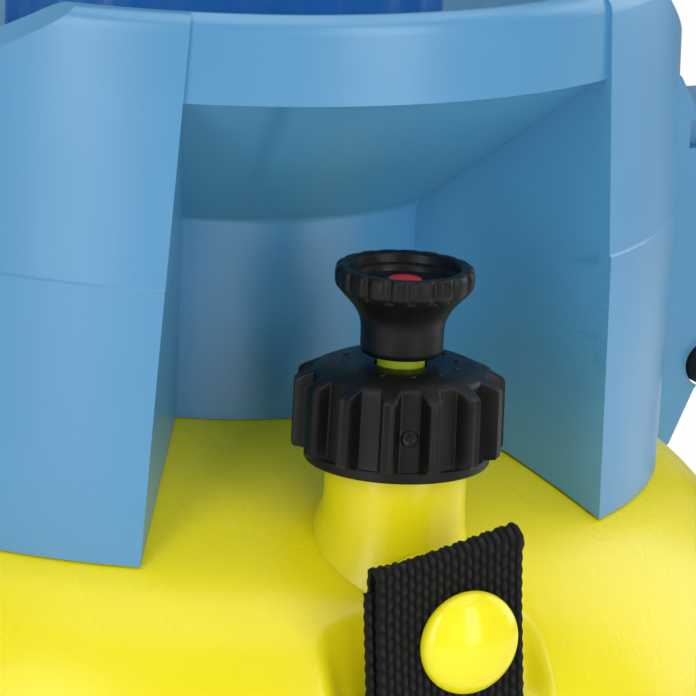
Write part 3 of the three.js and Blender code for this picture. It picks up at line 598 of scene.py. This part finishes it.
def makeCap():
    c = capSet
    count = c["pairs"] * c["perPair"]
    top = [(4.25, 403.2), (4.25, 406.45), (4.55, 406.75), (7.6, 406.85)]
    low = [(14.85, 392.5), (14.95, 392.35), (14.95, 391.0), (14.8, 390.78), (14.5, 390.7), (12.2, 390.7),
           (11.9, 391.0), (11.9, 402.9)]
    profile = top + [(r, z) for r, z, a, b in c["rows"]] + low
    bm = turnShape(profile, count, closed=True)
    heights = {(round(row[0], 2), round(row[1], 2)): row for row in c["rows"]}
    for v in bm.verts:
        key = (round(math.hypot(v.co.x, v.co.y), 2), round(v.co.z, 2))
        if key not in heights:
            continue
        flatR, flatZ, ribR, ribZ = heights[key]
        turn = math.degrees(math.atan2(v.co.y, v.co.x)) - c["frontFlat"]
        phase = (turn / 360 * c["pairs"]) % 1.0
        near = min(phase, 1 - phase)
        rib = ease(near, c["flatHalf"], 0.5 - c["ribHalf"])
        crown = max(0.0, 1 - ((near - 0.5) / c["dipHalf"]) ** 2)
        dip = c["dip"] * crown * (ribR - flatR) / c["ribHeight"]
        r = flatR + (ribR - flatR) * rib - dip
        flat = Vector((v.co.x, v.co.y, 0)).normalized() * r
        v.co = (flat.x, flat.y, flatZ + (ribZ - flatZ) * rib)
    marks = []
    # small raised pips on the top, twelve round the ring
    for i in range(c["pips"]):
        angle = 2 * math.pi * (i + 0.5) / c["pips"]
        pip = turnShape([(0, 407.15), (0.42, 407.05), (0.6, 406.6), (0.6, 406.4)], 12)
        marks.append(placeShape(pip, Matrix.Translation((
            c["pipRing"] * math.cos(angle), c["pipRing"] * math.sin(angle), -0.06))))
    # the gate's witness mark on one of the flats
    gate = turnShape([(0, 0.12), (0.5, 0.1), (0.8, 0.28), (1.15, 0.34), (1.35, 0.2), (1.45, -0.2)], 20)
    facing = math.radians(c["frontFlat"])
    gateX, gateZ = c["gateAt"]
    marks.append(placeShape(gate, Matrix.Rotation(facing, 4, "Z") @ Matrix.Translation((gateX, 0, gateZ))
                            @ Matrix.Rotation(math.pi / 2, 4, "Y")))
    joinShapes(bm, marks)
    moveShape(bm, (0, tankSet["valveY"], 0))
    return deliver(bm, "valveCapMoulding", "relief_cap", blackNylon, ["valve_cap"], 32)


makeCap()
print("valve cap made")


# relief knob: flared, with a dished top and a scalloped rim
knobSet = {"scallops": 18, "perScallop": 14, "depth": 0.55, "fadeFrom": 9.7, "fadeTo": 10.9,
           "rimLow": 418.6, "sharpness": 1.6}


def makeKnob():
    k = knobSet
    profile = [(2.95, 418.6), (2.95, 413.0), (2.7, 412.7), (2.7, 408.7), (2.9, 408.45), (5.95, 408.4),
               (6.3, 408.5), (6.58, 408.85), (6.66, 409.5), (6.68, 411.4)]
    profile += smoothLine([(6.7, 412.4), (6.85, 413.6), (7.25, 414.8), (7.9, 415.9), (8.75, 417.0),
                           (9.8, 418.1), (10.45, 418.8), (10.95, 419.4)], 3)
    profile += [(11.12, 419.8), (11.2, 420.4), (11.2, 421.6), (11.1, 422.2), (10.85, 422.55), (10.5, 422.7),
                (9.5, 422.7), (9.1, 422.55), (8.85, 422.2), (8.75, 421.4), (8.6, 421.1), (8.1, 420.95),
                (7.85, 420.7), (7.6, 419.9), (6.6, 419.3), (5.0, 419.0), (3.4, 418.9)]
    bm = turnShape(profile, k["scallops"] * k["perScallop"], closed=True)
    for v in bm.verts:
        r = math.hypot(v.co.x, v.co.y)
        if r < k["fadeFrom"] or v.co.z < k["rimLow"]:
            continue
        phase = (math.degrees(math.atan2(v.co.y, v.co.x)) / 360 * k["scallops"]) % 1.0
        notch = max(0.0, math.cos((phase - 0.5) * 2 * math.pi)) ** k["sharpness"]
        fade = ease(r, k["fadeFrom"], k["fadeTo"])
        factor = (r - k["depth"] * notch * fade) / r
        v.co.x *= factor
        v.co.y *= factor
    moveShape(bm, (0, tankSet["valveY"], 0))
    return deliver(bm, "valveKnobMoulding", "relief_knob", blackNylon, ["valve_knob"], 40)


makeKnob()

stemProfile = [(0, 383), (2.8, 383), (3, 383.2), (3, 388), (3.85, 389), (3.85, 407.9), (3.65, 408.1),
               (2.4, 408.1), (2.4, 411.8), (2.2, 412), (1.2, 412), (1.2, 404), (0, 404)]
deliver(moveShape(turnShape(stemProfile, 64), (0, tankSet["valveY"], 0)), "valveStemMoulding",
        "relief_knob", limeAcetal, ["valve_stem"])
tipProfile = [(0, 412.4), (2.3, 412.4), (2.4, 413.3), (2.8, 413.7)]
tipProfile += polarPoints(0.45, 0, 80, 4, 2.35, 420.2) + [(1.2, 420.85), (0, 420.9)]
deliver(moveShape(turnShape(tipProfile, 48), (0, tankSet["valveY"], 0)), "indicatorTip", "indicator",
        redPolypropylene, ["indicator_pin"])
print("relief valve made")


# strap button: a shallow polished dome on a pin
buttonProfile = [(0, 89.5), (2.5, 89.5), (2.5, 98), (2.9, 99.8), (7.8, 99.7), (8.25, 99.85), (8.42, 100.3)]
buttonProfile += smoothLine([(8.45, 100.7), (8.25, 101.4), (7.6, 102.2), (6.4, 103.1), (4.5, 103.95),
                             (2.2, 104.5), (0, 104.7)], 4)
button = placeShape(turnShape(buttonProfile, 96), Matrix.Translation((0, 0, tankSet["strapZ"]))
                    @ Matrix.Rotation(math.pi / 2, 4, "X"))
deliver(button, "strapButton", "sprayer", yellowButtonPlastic, ["strap_pin"])
print("strap button made")


# webbing: a band along a smooth line, its ribs and stitches worked into the mesh
webSet = {"width": 25.2, "tailWidth": 25.0, "thickness": 1.1, "ribs": 20, "perRib": 4, "rowMm": 0.58,
          "softening": 5, "stitchMm": 2.1, "ribHeight": 0.26, "stitchHeight": 0.34, "edgeWave": 0.22}


# Walks a line of (x, y, z, lean) at even steps and rounds its corners by repeated averaging.
def evenLine(stations, step, rounds):
    marks = []
    for a, b in zip(stations, stations[1:]):
        count = max(1, round((Vector(b[:3]) - Vector(a[:3])).length / step))
        marks += [[p + (q - p) * i / count for p, q in zip(a, b)] for i in range(count)]
    marks.append(list(stations[-1]))
    for _ in range(rounds):
        marks = [marks[0]] + [[(p + 2 * q + r) / 4 for p, q, r in zip(a, b, c)]
                              for a, b, c in zip(marks, marks[1:], marks[2:])] + [marks[-1]]
    return marks


def makeBand(name, stations, nodes, width=webSet["width"]):
    w = webSet
    ribs = w["ribs"]
    marks = evenLine(stations, w["rowMm"], w["softening"])
    rows = len(marks) - 1
    length = sum((Vector(b[:3]) - Vector(a[:3])).length for a, b in zip(marks, marks[1:]))
    columns = ribs * w["perRib"]
    bm = bmesh.new()
    bmesh.ops.create_grid(bm, x_segments=columns, y_segments=rows, size=0.5)
    uv = bm.loops.layers.uv.new("cloth")
    outX, outY, outZ = [bm.verts.layers.float.new("out" + axis) for axis in "XYZ"]
    raised = bm.verts.layers.float.new("raised")
    spots = {v: (v.co.x + 0.5, v.co.y + 0.5) for v in bm.verts}
    for face in bm.faces:
        for loop in face.loops:
            s, t = spots[loop.vert]
            loop[uv].uv = (s * width * mm, t * length * mm)
    offsets = [random.random() for _ in range(ribs + 1)]
    for v in bm.verts:
        s, t = spots[v]
        i = min(rows, max(0, round(t * rows)))
        here, ahead = marks[min(i + 1, rows)], marks[max(i - 1, 0)]
        tangent = (Vector(here[:3]) - Vector(ahead[:3])).normalized()
        lean = math.radians(marks[i][3])
        across = Vector((math.cos(lean), 0, math.sin(lean)))
        across = (across - tangent * across.dot(tangent)).normalized()
        out = tangent.cross(across)
        rib = s * ribs
        which = min(int(rib), ribs - 1)
        along = t * length / w["stitchMm"] + (0.5 if which % 2 else 0.0) + 0.12 * offsets[which]
        slant = (rib - which - 0.5) * (0.9 if which % 2 else -0.9)
        crest = math.sin(math.pi * (rib - which)) ** 0.7 if 0 < rib - which < 1 else 0.0
        stitch = 0.5 + 0.5 * math.cos(2 * math.pi * (along + slant * 0.35))
        # how high the weave stands here; the webbing's material paints a highlight on high points and shade in the
        # furrows from it
        v[raised] = crest * (0.3 + 0.7 * stitch)
        lift = w["ribHeight"] * crest * (0.6 + 0.4 * stitch) + w["stitchHeight"] * crest * stitch
        edge = w["edgeWave"] * math.cos(2 * math.pi * along) if which in (0, ribs - 1) else 0.0
        sideways = (s - 0.5) * (width + edge)
        v.co = Vector(marks[i][:3]) + across * sideways + out * (lift + w["thickness"] / 2)
        v[outX], v[outY], v[outZ] = out * (1 + lift / w["thickness"])
    made = bmesh.ops.extrude_face_region(bm, geom=bm.faces[:])
    for v in made["geom"]:
        if isinstance(v, bmesh.types.BMVert):
            v.co -= Vector((v[outX], v[outY], v[outZ])) * w["thickness"]
    bmesh.ops.recalc_face_normals(bm, faces=bm.faces)
    piece = deliver(bm, name, "sprayer", webbingCloth, nodes, 60)
    return piece


buckleLow, buckleHigh = [[v / mm for v in corner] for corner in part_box("buckle_right")]
buckleX = (buckleLow[0] + buckleHigh[0]) / 2
# each strap runs straight from its parting point under the button to its buckle
strapSet = {"partX": -2.0, "partZ": 350, "buckleZ": 118}


def strapStations(side, depth, folded):
    lowX = side * buckleX
    partX, partZ = strapSet["partX"], strapSet["partZ"]
    drop = partZ - strapSet["buckleZ"]
    path = math.degrees(math.atan2(lowX - partX, drop))
    stations = []
    # the folded end leans; its rear layer is short and hidden behind the front one
    if folded:
        stations += [(-3.2, -96.1, 377.0, 13.6), (-3.4, -96.1, 382.2, 13.6),
                     (-3.5, -(depth + 0.2), 383.3, 13.6)]
    else:
        stations += [(-4.4, -depth, 378.0, 10.0)]
    aside = 0.0 if folded else -1.2
    stations += [(-2.9 + aside, -depth, 373, 12.0 if folded else 7.0), (-1.9 + aside, -depth, 360, 2.0),
                 (partX + 0.02 * lowX + aside / 2, -depth, partZ, path * 0.5)]
    # out of the recess and over the tank's side
    for z, bow in ((334, 3.0), (318, 5.0), (298, 7.2), (270, 8.6), (240, 9.2), (210, 9.2), (180, 9.0),
                   (143, 8.7)):
        stations.append((partX + (lowX - partX) * (partZ - z) / drop, -(depth + bow), z, path))
    stations += [(lowX, -104.6, 128, path * 0.4), (lowX, -102.8, 119.5, 0), (lowX, -102.9, 114.6, 0),
                 (lowX, -105.6, 110.6, 0), (lowX, -109.6, 107.6, 0), (lowX, -106.6, 104.2, 0),
                 (lowX, -102.4, 102.0, 0), (lowX, -101.6, 95.5, 0), (lowX, -101.8, 84, 0)]
    return stations


makeBand("strapBack", strapStations(-1, 97.2, False), ["strap_webbing"])
makeBand("strapFront", strapStations(1, 98.9, True), ["strap_webbing"])
for side, node in ((1, "strap_tail_right"), (-1, "strap_tail_left")):
    x = side * buckleX
    makeBand("tail" + ("Right" if side > 0 else "Left"),
             [(x, -101.9, 78, 0), (x, -102.0, 88, 0), (x, -103.6, 94.6, 0), (x, -107.4, 95.4, 0),
              (x, -109.6, 91.6, 0), (x, -108.6, 86, 0), (x, -108.0, 74, 0), (x, -108.0, 30, 0), (x, -108.0, 6, 0)],
             [node], webSet["tailWidth"])
print("webbing made")


refineSet = {"weld": 0.02, "flatAngle": 0.5, "sharpAngle": 30}


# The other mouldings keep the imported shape: a merged copy with its flat faces joined and edges rounded.
def refine(node, name, body, material, slotName, edge, segments):
    bm = bmesh.new()
    bm.from_mesh(frame["nodes"][node].data)
    bmesh.ops.scale(bm, vec=(1 / mm, 1 / mm, 1 / mm), verts=bm.verts)
    bmesh.ops.remove_doubles(bm, verts=bm.verts, dist=refineSet["weld"])
    bmesh.ops.dissolve_limit(bm, angle_limit=math.radians(refineSet["flatAngle"]), verts=bm.verts,
                             edges=bm.edges)
    for layer in list(bm.loops.layers.uv):
        bm.loops.layers.uv.remove(layer)
    if edge:
        roundEdges(bm, edge, segments, refineSet["sharpAngle"])
    return deliver(bm, name, body, material, [node])


# node, piece, body, material, slot, edge radius, and the edge's segments
refineList = [
    ("base_foot", "baseFootMoulding", "sprayer", bluePolypropylene, "light_blue", 0.8, 3),
    ("rest_peg_right", "restPegRight", "sprayer", blackRubber, "black_rubber", 0.3, 2),
    ("rest_peg_left", "restPegLeft", "sprayer", blackRubber, "black_rubber", 0.3, 2),
    ("buckle_right", "buckleRightMoulding", "sprayer", blackNylon, "black_plastic", 0.6, 3),
    ("buckle_left", "buckleLeftMoulding", "sprayer", blackNylon, "black_plastic", 0.6, 3),
    ("outlet_gasket", "outletGasketRing", "sprayer", blackRubber, "black_rubber", 0.1, 2),
    ("outlet_fitting", "outletTail", "sprayer", blackNylon, "black_plastic", 0.25, 2),
    ("pump_barrel", "pumpBarrelMoulding", "pump", deepBluePolypropylene, "deep_blue", 0.4, 2),
    ("foot_valve", "footValveDisc", "pump", blackRubber, "black_rubber", 0.2, 2),
    ("rod_guide", "rodGuideMoulding", "pump", blackNylon, "black_plastic", 0.4, 2),
    ("mouth_gasket", "mouthGasketRing", "pump", blackRubber, "black_rubber", 0.15, 2),
    ("pump_cap_nut", "pumpNutMoulding", "cap_nut", deepBluePolypropylene, "deep_blue", 0.6, 3),
    ("pump_rod", "pumpRodBar", "plunger", greyPolypropylene, "grey_plastic", 0.5, 2),
    ("piston", "pistonMoulding", "plunger", blackNylon, "black_plastic", 0.3, 2),
    ("piston_seal", "pistonSealRing", "plunger", blackRubber, "black_rubber", 0.3, 2),
    ("pump_handle", "handleMoulding", "handle", blackNylon, "black_plastic", 1.2, 3),
    ("valve_gasket", "valveGasketRing", "relief_cap", blackRubber, "black_rubber", 0.1, 2),
    ("valve_spring", "valveSpringWire", "relief_cap", steelWire, "steel", 0, 1),
    ("valve_seal", "valveSealDisc", "relief_knob", blackRubber, "black_rubber", 0.2, 2),
    ("outlet_nut", "outletNutMoulding", "hose_nut", blackNylon, "black_plastic", 0.35, 2),
    ("lance_grip", "lanceGripMoulding", "lance", blackNylon, "black_plastic", 0.9, 3),
    ("lance_tube", "lanceTubeExtrusion", "lance", blackNylon, "black_plastic", 0.3, 2),
    ("nozzle_body", "nozzleBodyMoulding", "lance", blackNylon, "black_plastic", 0.3, 2),
    ("trigger_pin", "triggerPinRod", "lance", steelWire, "steel", 0.25, 2),
    ("lance_nut", "lanceNutMoulding", "tube_nut", blackNylon, "black_plastic", 0.3, 2),
    ("trigger", "triggerMoulding", "trigger_lever", blackNylon, "black_plastic", 0.7, 3),
    ("trigger_lock", "triggerLockMoulding", "trigger_catch", redPolypropylene, "red_plastic", 0.3, 2),
    ("nozzle_cap", "nozzleCapMoulding", "nozzle", limeAcetal, "lime_plastic", 0.3, 2),
]
for entry in refineList:
    made = refine(*entry)
    if entry[0] == "valve_spring":
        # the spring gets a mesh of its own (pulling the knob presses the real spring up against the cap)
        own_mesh(made)
print("other mouldings made")


# studio: a pale floor that fades to white, a soft surround, four tall soft lamps, a broad one
# overhead and a weak one in front; sizes in metres, powers in watts
studioSet = {
    "floorRadius": 1.6, "fadeFrom": 0.75, "fadeTo": 1.3, "surround": 0.3, "target": (0, -0.05, 0.38),
    "facing": -90 - 27.2,       # degrees from +X to the camera's side, which each lamp's turn adds to
    "lamps": [
        {"turn": -30, "high": 0.75, "away": 1.3, "wide": 0.42, "tall": 1.3, "power": 5.6},
        {"turn": 42, "high": 0.75, "away": 1.3, "wide": 0.42, "tall": 1.3, "power": 5.6},
        {"turn": -95, "high": 0.9, "away": 1.5, "wide": 1.0, "tall": 1.4, "power": 7.5},
        {"turn": 120, "high": 0.9, "away": 1.5, "wide": 1.0, "tall": 1.4, "power": 7.5},
    ],
    "top": {"place": (0.1, -0.1, 1.8), "wide": 1.6, "power": 10},
    # lights the inside of the pocket from the front, without a reflection of its own
    "fill": {"turn": 22, "high": 0.7, "away": 2.2, "wide": 1.0, "power": 10},
}


def makeStudio():
    s = studioSet
    floor = bmesh.new()
    bmesh.ops.create_circle(floor, cap_ends=True, radius=s["floorRadius"], segments=96)
    mesh = bpy.data.meshes.new("studioFloor")
    floor.to_mesh(mesh)
    plane = bpy.data.objects.new("studioFloor", mesh)
    bpy.context.scene.collection.objects.link(plane)
    # matt white studio paper, lit until it burns out at its far edge
    material, tree, shader = startMaterial("mattStudioPaper")
    spot = addNode(tree, "ShaderNodeTexCoord").outputs["Object"]
    grain = addNode(tree, "ShaderNodeTexNoise", {"Scale": 1 / (2.5 * mm), "Detail": 3.0}, {"Vector": spot})
    colour = addNode(tree, "ShaderNodeValToRGB", links={"Fac": grain.outputs["Fac"]},
                     stops=[(0.3, "#eceded"), (0.7, "#f2f2f2")])
    tree.links.new(colour.outputs[0], shader.inputs["Base Color"])
    shader.inputs["Roughness"].default_value = 0.8
    far = addNode(tree, "ShaderNodeVectorMath", links={0: spot}, operation="LENGTH")
    fade = addNode(tree, "ShaderNodeMapRange", {"From Min": s["fadeFrom"], "From Max": s["fadeTo"]},
                   {"Value": far.outputs["Value"]}, interpolation_type="SMOOTHSTEP")
    white = addNode(tree, "ShaderNodeEmission", {"Color": (1, 1, 1, 1), "Strength": 1.0})
    mixed = addNode(tree, "ShaderNodeMixShader", links={"Fac": fade.outputs[0], 1: shader.outputs[0],
                                                        2: white.outputs[0]})
    output = [n for n in tree.nodes if n.type == "OUTPUT_MATERIAL"][0]
    tree.links.new(mixed.outputs[0], output.inputs["Surface"])
    plane.data.materials.append(material)

    world = bpy.data.worlds.new("softSurround")
    world.use_nodes = True
    tree = world.node_tree
    tree.nodes.clear()
    seen = addNode(tree, "ShaderNodeLightPath")
    strength = addNode(tree, "ShaderNodeMapRange", {"To Min": s["surround"], "To Max": 1.0},
                       {"Value": seen.outputs["Is Camera Ray"]})
    back = addNode(tree, "ShaderNodeBackground", {"Color": (1, 1, 1, 1)}, {"Strength": strength.outputs[0]})
    addNode(tree, "ShaderNodeOutputWorld", links={"Surface": back.outputs[0]})
    bpy.context.scene.world = world

    for i, lamp in enumerate(s["lamps"]):
        addLamp(f"softLamp{i}", lampPlace(lamp), lamp["wide"], lamp["tall"], lamp["power"])
    fill, top = s["fill"], s["top"]
    addLamp("fillLamp", lampPlace(fill), fill["wide"], fill["wide"], fill["power"]).visible_glossy = False
    addLamp("topLamp", Vector(top["place"]), top["wide"], top["wide"], top["power"])


def lampPlace(lamp):
    angle = math.radians(studioSet["facing"] + lamp["turn"])
    return Vector((math.cos(angle) * lamp["away"], math.sin(angle) * lamp["away"], lamp["high"]))


def addLamp(name, place, wide, tall, power):
    data = bpy.data.lights.new(name, "AREA")
    data.shape, data.size, data.size_y, data.energy = "RECTANGLE", wide, tall, power
    lamp = bpy.data.objects.new(name, data)
    bpy.context.scene.collection.objects.link(lamp)
    aim = (place - Vector(studioSet["target"])).to_track_quat("Z", "Y")
    lamp.matrix_world = Matrix.Translation(place) @ aim.to_matrix().to_4x4()
    return lamp


makeStudio()
bpy.context.scene.view_settings.view_transform = "Standard"
print("studio made")
